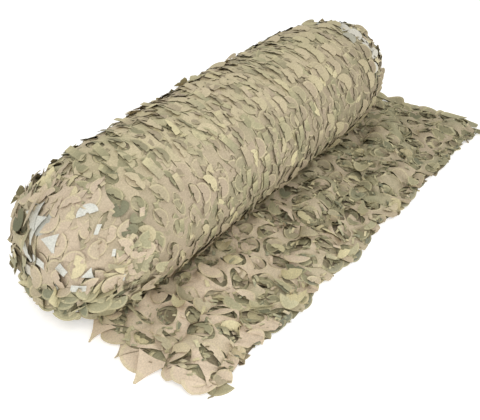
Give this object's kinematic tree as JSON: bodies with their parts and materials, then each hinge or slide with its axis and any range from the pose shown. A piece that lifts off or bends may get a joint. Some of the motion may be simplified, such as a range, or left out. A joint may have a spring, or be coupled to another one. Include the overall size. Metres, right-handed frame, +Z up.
{
  "type": "roll of incised camouflage netting with a loose end",
  "caption": "Soft roll of desert-coloured incised netting, resting on its side with its loose end lying flat in front of it.",
  "frame": {"origin": "on the supporting surface, under the middle of the roll's axis", "axes": "+X along the roll, +Y to the back, away from the loose end, +Z up"},
  "size_m": [1.5494, 0.7215, 0.3792],
  "materials": {
    "netting": "matt printed cloth, pinkish tan with khaki and straw patches and an unprinted white selvedge"
  },
  "bodies": {
    "root": {"net_roll": "netting", "loose_end": "netting"}
  },
  "joints": []
}
